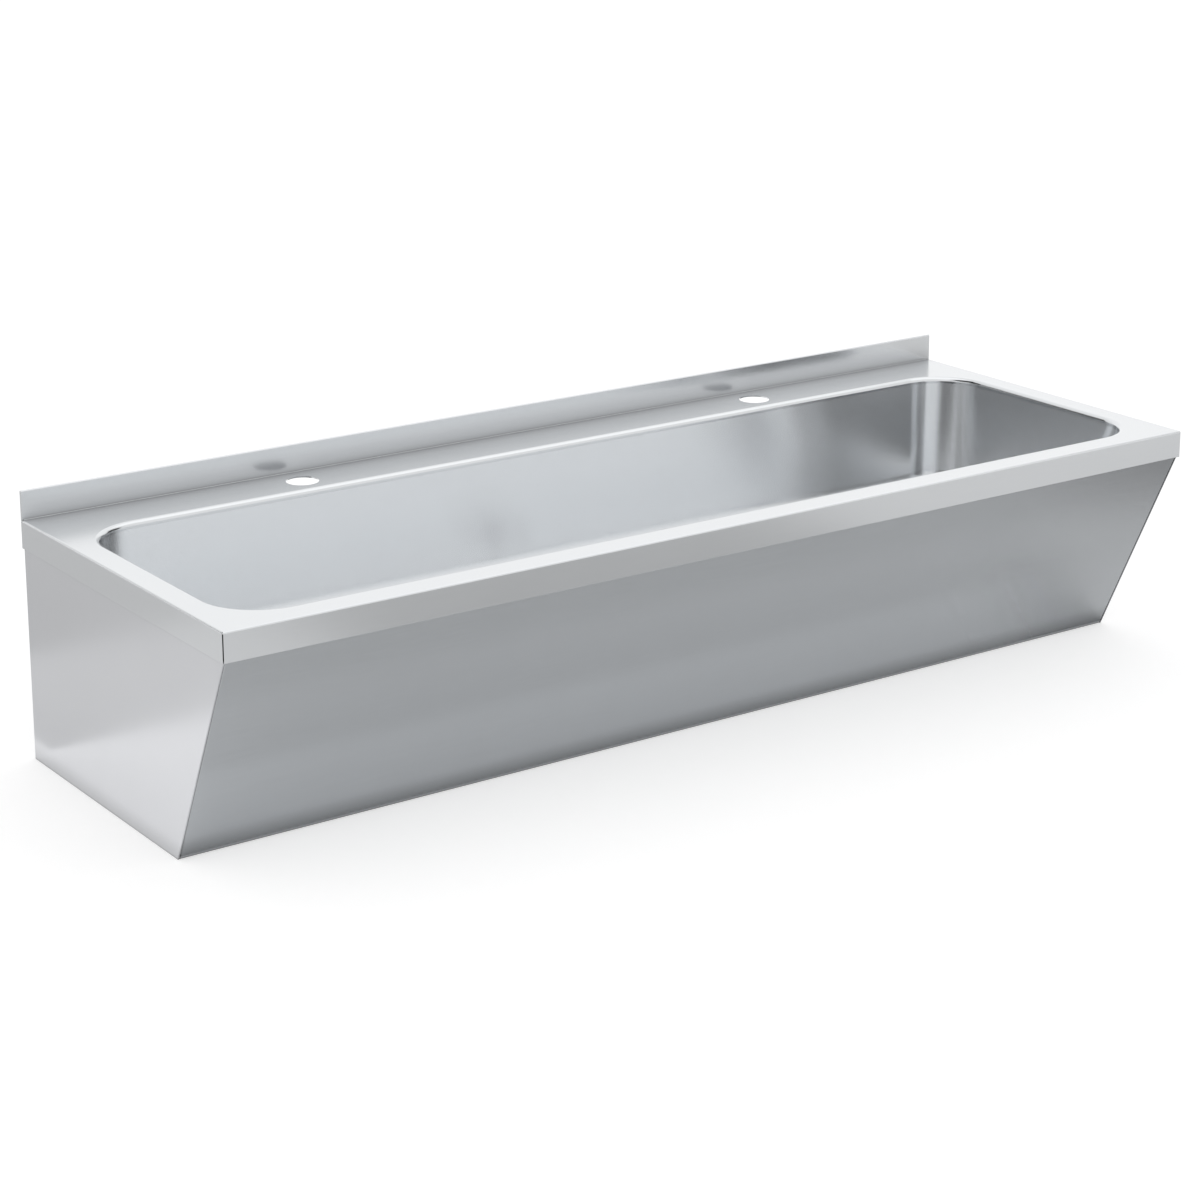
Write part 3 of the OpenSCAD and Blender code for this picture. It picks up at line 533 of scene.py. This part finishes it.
def deck_sheet(finishes):
    """Top sheet: aprons, rolled lip, tap holes and the doubled upstand."""
    bm = bmesh.new()
    flat_and_lip(bm)
    fold_down_aprons(bm)
    close_corners(bm)
    foot = rim(bm, lambda c: near(c.y, FOOT_Y) and near(c.z, DECK_Z))
    fold(bm, foot, (0, FOOT_Y, DECK_Z + INNER_FOLD), (1, 0, 0), 90)
    face_up(bm)
    bm = thickened(bm)
    mitre_slits(bm)
    round_apron_edges(bm)
    soften(bm, DECK_EDGE)
    add_hem(bm)
    piece("deck_sheet", bm, "trough", finishes, "deck")


def bowl_pressing(finishes):
    """Pressed bowl: the front wall slopes with the casing, and the floor dips at the waste."""
    bm = bmesh.new()
    front_wall = CORNER_FRONT_Y - CORNER_R
    loops = [trough_loop(bm, CORNER_R, LIP_Z)]
    for i in range(FLOOR_STEPS + 1):
        turn = math.radians(90) * i / FLOOR_STEPS
        z = FLOOR_Z + FLOOR_R * (1 - math.sin(turn))
        inset = FLOOR_R * (1 - math.cos(turn))
        if turn < SLOPE:
            front = front_wall + (LIP_Z - z) * math.tan(SLOPE)
        else:
            bend = FLOOR_R / math.cos(SLOPE) - FLOOR_R * math.cos(turn)
            front = front_wall + (LIP_Z - FLOOR_Z - FLOOR_R) * math.tan(SLOPE) + bend
        radius = CORNER_R - inset
        loops.append(trough_loop(bm, radius, z, front + radius))
    bridge_all(bm, loops)
    rings = [round_loop(bm, DISH_R, 0, WASTE_Y, FLOOR_Z, DISH_SIDES)]
    fill(bm, loops[-1] + rings[0])
    for radius, drop in DISH_RINGS:
        rings.append(round_loop(bm, radius, 0, WASTE_Y, FLOOR_Z - drop, DISH_SIDES))
    bridge_all(bm, rings)
    face_up(bm)
    bm = thickened(bm)
    piece("bowl_pressing", bm, "trough", finishes, "bowl")


def finished_copy(node, name, body, slot, material, edge):
    """A copy of a CAD node with its triangles merged, its edges broken and its rounds smooth."""
    bm = bmesh.new()
    bm.from_mesh(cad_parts[node].data)
    bmesh.ops.scale(bm, vec=Vector((1 / MM,) * 3), verts=bm.verts)
    bmesh.ops.remove_doubles(bm, verts=bm.verts, dist=COPY_MERGE)
    bmesh.ops.dissolve_limit(
        bm,
        angle_limit=math.radians(FLAT_DEGREES),
        verts=bm.verts,
        edges=bm.edges,
        use_dissolve_boundaries=False,
    )
    soften(bm, edge)
    piece(name, bm, body, (material,), node)


# --- build ---

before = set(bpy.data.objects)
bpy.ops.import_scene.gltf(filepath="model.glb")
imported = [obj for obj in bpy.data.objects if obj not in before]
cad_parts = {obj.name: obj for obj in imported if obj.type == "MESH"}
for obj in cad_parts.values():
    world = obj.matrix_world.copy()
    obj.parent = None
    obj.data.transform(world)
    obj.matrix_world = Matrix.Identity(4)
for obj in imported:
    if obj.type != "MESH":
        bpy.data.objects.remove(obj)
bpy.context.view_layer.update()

# Belt-ground stainless sheet, satin: pale grey metal with a faint grain along its length
SHEET_METAL = steel(
    "ground_stainless_sheet", "#D8DADC", "#DBDDDF", 0.2, (80.0, 0.9, 0.9), 0.012
)
# Deep-drawn stainless, ground after pressing: the grain runs round the bowl. Its base is paler than
# the deck's, which is the same steel: painted light for the shaded inside of the bowl
BOWL_METAL_PAINTED_LIGHT = steel(
    "drawn_stainless_bowl_painted_light", "#E1E3E5", "#E3E5E7", 0.24, (80.0, 80.0, 0.9), 0.01, 0.001, 0.8
)
# Casing sheet, ground along its length like the deck, with a darker base than the deck's same
# steel:
# painted shade for the shaded floor that its sloped front reflects
CASING_METAL_PAINTED_SHADE = steel("ground_stainless_casing_painted_shade", "#C6C9CC", "#CBCED1", 0.22, (60.0, 0.9, 0.9))
# Side sheets, with the grain upright
END_METAL = steel("ground_stainless_ends", "#D6D7DA", "#DADBDE", 0.22, (0.9, 0.9, 80.0), 0.012)
# Rolled mill-finish stainless of the frame, duller and cloudier than the ground sheet
FRAME_METAL = steel(
    "rolled_stainless_frame", "#A9ABAE", "#B7B9BC", 0.36, (14.0, 14.0, 14.0), 0.06
)
# Cold-headed stainless fasteners, with fine turned marks
FASTENER_METAL = steel(
    "headed_stainless_fasteners", "#A3A5A8", "#B4B6B9", 0.3, (2.0, 2.0, 0.6)
)
# Buffed stainless of the waste and its strainer
WASTE_METAL = steel("buffed_stainless_waste", "#CFD0D2", "#DCDDDF", 0.14, (3.0, 3.0, 3.0), 0.03)
# Turned brass of the backnut and the earthing bolt
BRASS = moulded("turned_brass", "#A88B4A", "#BFA15B", 0.3, 1.5, 0.1, metallic=1.0)
# Moulded nitrile rubber: near black and dull
RUBBER = moulded("moulded_nitrile_rubber", "#18191A", "#242526", 0.72, 1.2, 0.25, ior=1.52)
# Bitumen damping sheet: black with a coarse pressed grain
BITUMEN = moulded("pressed_bitumen_sheet", "#161617", "#2A2A2B", 0.85, 4.0, 0.6, ior=1.6)
# Injection-moulded polypropylene of the trap: white and softly glossy
PLASTIC = moulded("moulded_polypropylene", "#E2E2DE", "#EDEDEA", 0.38, 2.0, 0.05, ior=1.49)
# Stamped polyethylene slip washer: ivory and waxy
SLIP = moulded("stamped_polyethylene", "#D8D3C2", "#E4DFD0", 0.45, 2.0, 0.05, ior=1.51)

deck_sheet((SHEET_METAL, FRAME_METAL))
bowl_pressing((BOWL_METAL_PAINTED_LIGHT, FRAME_METAL))

# For each CAD node: the piece's name, its body, slot and finish, and the width of its edges
COPIES = {
    "front_panel": ("front_casing", "trough", "stainless_skin", CASING_METAL_PAINTED_SHADE, 0.15),
    "left_side_panel": ("left_casing_end", "trough", "stainless_skin", END_METAL, 0.3),
    "right_side_panel": ("right_casing_end", "trough", "stainless_skin", END_METAL, 0.3),
    "left_side_angle": ("left_base_foot", "trough", "stainless_frame", FRAME_METAL, 0.2),
    "right_side_angle": ("right_base_foot", "trough", "stainless_frame", FRAME_METAL, 0.2),
    "front_stiffener": ("front_land_angle", "trough", "stainless_frame", FRAME_METAL, 0.2),
    "rear_rail": ("rear_base_angle", "trough", "stainless_frame", FRAME_METAL, 0.2),
    "left_casing_tie": ("left_base_channel", "trough", "stainless_frame", FRAME_METAL, 0.2),
    "right_casing_tie": ("right_base_channel", "trough", "stainless_frame", FRAME_METAL, 0.2),
    "left_wall_bracket": ("left_folded_bracket", "trough", "stainless_frame", FRAME_METAL, 0.3),
    "right_wall_bracket": ("right_folded_bracket", "trough", "stainless_frame", FRAME_METAL, 0.3),
    "left_floor_channel": ("left_hat_channel", "trough", "stainless_frame", FRAME_METAL, 0.2),
    "right_floor_channel": ("right_hat_channel", "trough", "stainless_frame", FRAME_METAL, 0.2),
    "left_sound_pad": ("left_damping_sheet", "trough", "damping_pad", BITUMEN, 0.5),
    "right_sound_pad": ("right_damping_sheet", "trough", "damping_pad", BITUMEN, 0.5),
    "earth_tag": ("bonding_tag", "trough", "stainless_frame", FRAME_METAL, 0.2),
    "earth_bolt": ("bonding_bolt", "trough", "brass", BRASS, 0.3),
    "earth_nut": ("bonding_nut", "trough", "brass", BRASS, 0.3),
    "casing_screws": ("countersunk_screws", "trough", "fastener_steel", FASTENER_METAL, 0.1),
    "casing_rivnuts": ("rivet_nuts", "trough", "fastener_steel", FASTENER_METAL, 0.1),
    "bracket_studs": ("weld_studs", "trough", "fastener_steel", FASTENER_METAL, 0.3),
    "bracket_washers": ("stud_washers", "trough", "fastener_steel", FASTENER_METAL, 0.15),
    "bracket_nuts": ("stud_nuts", "trough", "fastener_steel", FASTENER_METAL, 0.3),
    "waste_body": ("waste_flange_and_tail", "trough", "waste_steel", WASTE_METAL, 0.25),
    "strainer": ("lift_out_strainer", "strainer", "waste_steel", WASTE_METAL, 0.25),
    "waste_top_gasket": ("flange_gasket", "trough", "seal_rubber", RUBBER, 0.2),
    "waste_gasket": ("under_gasket", "trough", "seal_rubber", RUBBER, 0.3),
    "waste_slip_washer": ("slip_washer", "trough", "slip_plastic", SLIP, 0.15),
    "waste_backnut": ("brass_backnut", "trough", "brass", BRASS, 0.5),
    "trap_inlet_nut": ("inlet_hand_nut", "trough", "trap_plastic", PLASTIC, 0.4),
    "trap_inlet_washer": ("inlet_washer", "trough", "seal_rubber", RUBBER, 0.2),
    "trap_body": ("bottle_moulding", "trough", "trap_plastic", PLASTIC, 0.4),
    "trap_cup": ("cleaning_cup", "trap_cup", "trap_plastic", PLASTIC, 0.4),
    "trap_cup_seal": ("cup_seal", "trap_cup", "seal_rubber", RUBBER, 0.2),
    "trap_cup_ring": ("cup_hand_ring", "trap_cup_ring", "trap_plastic", PLASTIC, 0.4),
    "outlet_nut": ("outlet_hand_nut", "trough", "trap_plastic", PLASTIC, 0.4),
    "outlet_seal": ("outlet_ring_seal", "trough", "seal_rubber", RUBBER, 0.2),
    "outlet_pipe": ("outlet_tube", "trough", "trap_plastic", PLASTIC, 0.3),
}
for node, details in COPIES.items():
    finished_copy(node, *details)


# --- floor, light and camera ---


def on_stage(name, bm, material):
    """Makes a mesh of the studio."""
    mesh = bpy.data.meshes.new(name)
    bm.to_mesh(mesh)
    bm.free()
    mesh.materials.append(material)
    made = bpy.data.objects.new(name, mesh)
    bpy.context.scene.collection.objects.link(made)
    return made


def pale_floor():
    """White floor that keeps the soft shadow of the trough."""
    material, tree = new_material("pale_studio_floor")
    ray = add(tree, "LightPath")
    seen = ray.outputs["Is Camera Ray"]
    for kind in ("Is Glossy Ray", "Is Transmission Ray"):
        seen = add(tree, "Math", {0: seen, 1: ray.outputs[kind]}, operation="MAXIMUM").outputs[0]
    matt = add(tree, "BsdfDiffuse", {"Color": linear("#CBCBCB")})
    glow = add(tree, "Emission", {"Color": linear("#FFFFFF"), "Strength": FLOOR_GLOW})
    lit = add(tree, "AddShader", {0: matt.outputs[0], 1: glow.outputs[0]})
    surface(tree, add(tree, "MixShader", {0: seen, 1: matt.outputs[0], 2: lit.outputs[0]}))
    bm = bmesh.new()
    bmesh.ops.create_grid(bm, x_segments=1, y_segments=1, size=FLOOR_SIZE)
    on_stage("studio_floor", bm, material)


def studio_world():
    """Plain white all round."""
    world = bpy.data.worlds.new("studio_world")
    world.use_nodes = True
    tree = world.node_tree
    tree.nodes.clear()
    white = add(tree, "Background", {"Color": linear("#FFFFFF"), "Strength": 1.0})
    add(tree, "OutputWorld", {"Surface": white.outputs[0]})
    bpy.context.scene.world = world


def soft_box(name, place, target, width, depth, brightness):
    """Large soft light that only bright metal shows; brightness 1 is as bright as white."""
    data = bpy.data.lights.new(name, "AREA")
    data.shape = "RECTANGLE"
    data.size = width
    data.size_y = depth
    data.energy = brightness * math.pi * width * depth
    lamp = bpy.data.objects.new(name, data)
    lamp.location = place
    lamp.rotation_euler = (Vector(target) - Vector(place)).to_track_quat("-Z", "Y").to_euler()
    bpy.context.scene.collection.objects.link(lamp)
    lamp.visible_camera = False
    lamp.visible_diffuse = False


def faded(tree, card, fade_x, fade_y):
    """The card's shader, clear at its left edge and at the edge that is nearest to the trough."""
    across = add(tree, "SeparateXYZ", {0: add(tree, "TexCoord").outputs["Generated"]})
    ramps = [
        add(
            tree,
            "MapRange",
            {"Value": across.outputs[axis], "From Min": start, "From Max": end},
            interpolation_type="SMOOTHSTEP",
        ).outputs[0]
        for axis, start, end in ((0, 0.0, fade_x), (1, 1.0, 1.0 - fade_y))
    ]
    share = add(tree, "Math", {0: ramps[0], 1: ramps[1]}, operation="MULTIPLY")
    clear = add(tree, "BsdfTransparent")
    return add(tree, "MixShader", {0: share.outputs[0], 1: clear.outputs[0], 2: card.outputs[0]})


def reflection_card(name, place, facing, width, height, colour, fade_x=0.0, fade_y=0.0):
    """Reflection card: a matt card beside the set that only glossy rays see, so that it paints a
    lighter or darker reflection into the bright metal.

    fade_x and fade_y are the shares of its width and height over which the card fades in.
    """
    material, tree = new_material(name + "_card")
    card = add(tree, "BsdfDiffuse", {"Color": linear(colour)})
    surface(tree, faded(tree, card, fade_x, fade_y) if fade_x else card)
    bm = bmesh.new()
    bmesh.ops.create_grid(bm, x_segments=1, y_segments=1, size=0.5)
    bmesh.ops.scale(bm, vec=Vector((width, height, 1)), verts=bm.verts)
    turn = Vector(facing).to_track_quat("Z", "Y").to_matrix()
    bmesh.ops.rotate(bm, cent=Vector((0, 0, 0)), matrix=turn, verts=bm.verts)
    bmesh.ops.translate(bm, vec=Vector(place), verts=bm.verts)
    made = on_stage(name, bm, material)
    made.visible_camera = False
    made.visible_diffuse = False
    made.visible_shadow = False


# Name, place, facing, width, height, colour and fades of each card, in metres. Only glossy rays see
# the cards, so they paint reflections. The cards on the floor lie in layers, and the upper one
# shows;
# their greys are painted reflections of the floor's light and of its shade round the trough. The
# upright dark cards paint dark reflections into the bowl and the folds.
UP = (0, 0, 1)
REFLECTION_CARDS = (
    ("near_front_flag", (0.2, -0.142, 0.003), UP, 1.8, 0.076, "#FAFAFA"),
    ("front_flag", (0.2, -0.215, 0.003), UP, 1.8, 0.07, "#EAEAEA"),
    ("far_front_flag", (0.2, -0.35, 0.003), UP, 1.8, 0.2, "#DADADA"),
    ("front_end_flag", (0.825, -0.32, 0.0045), UP, 0.85, 0.4, "#989898", 0.55, 0.5),
    ("near_foot_flag", (0.8, -0.152, 0.004), UP, 0.8, 0.096, "#E2E2E2", 0.3, 0.01),
    ("apron_flag", (0.2, -0.89, 0.003), UP, 0.75, 0.8, "#C0C0C0"),
    ("wide_apron_flag", (0.5, -0.89, 0.002), UP, 2.4, 0.8, "#E6E6E6"),
    ("end_flag", (-0.92, 0.9, 0.003), UP, 0.6, 0.8, "#D2D2D2"),
    ("near_end_flag", (-0.92, 0.36, 0.002), UP, 0.6, 0.28, "#E8E8E8"),
    ("right_flag", (5.5, -1.5, 1.7), (-1, 0.2, 0), 4.0, 2.8, "#3A3A3A"),
    ("left_flag", (-5.71, 4.02, 3.0), (0.79, -0.61, -0.1), 4.9, 4.4, "#2C2C2C"),
    ("upper_left_flag", (-3.6, 0.6, 3.4), (0.72, -0.12, -0.68), 4.5, 3.6, "#202020"),
)

pale_floor()
studio_world()
soft_box("ceiling_light", (0.6, -0.2, 2.4), (0.6, -0.2, 0), 3.4, 2.4, 0.35)
soft_box("back_light", (2.3, 3.2, 2.0), (0, 0, 0.2), 6.0, 3.6, 0.15)
for details in REFLECTION_CARDS:
    reflection_card(*details)

# The camera that the photo's corners gave
camera = bpy.data.cameras.new("camera")
camera.lens = 86.627
camera.sensor_width = 36.0
camera.sensor_fit = "HORIZONTAL"
camera.shift_y = -0.15
camera.clip_start = 0.05
camera.clip_end = 100.0
view = bpy.data.objects.new("camera", camera)
view.location = (-1.72068, -2.37885, 1.0815)
view.rotation_euler = (1.314501, 0.0, -0.61443)
bpy.context.scene.collection.objects.link(view)
bpy.context.scene.camera = view

bpy.context.scene.view_settings.view_transform = "Standard"
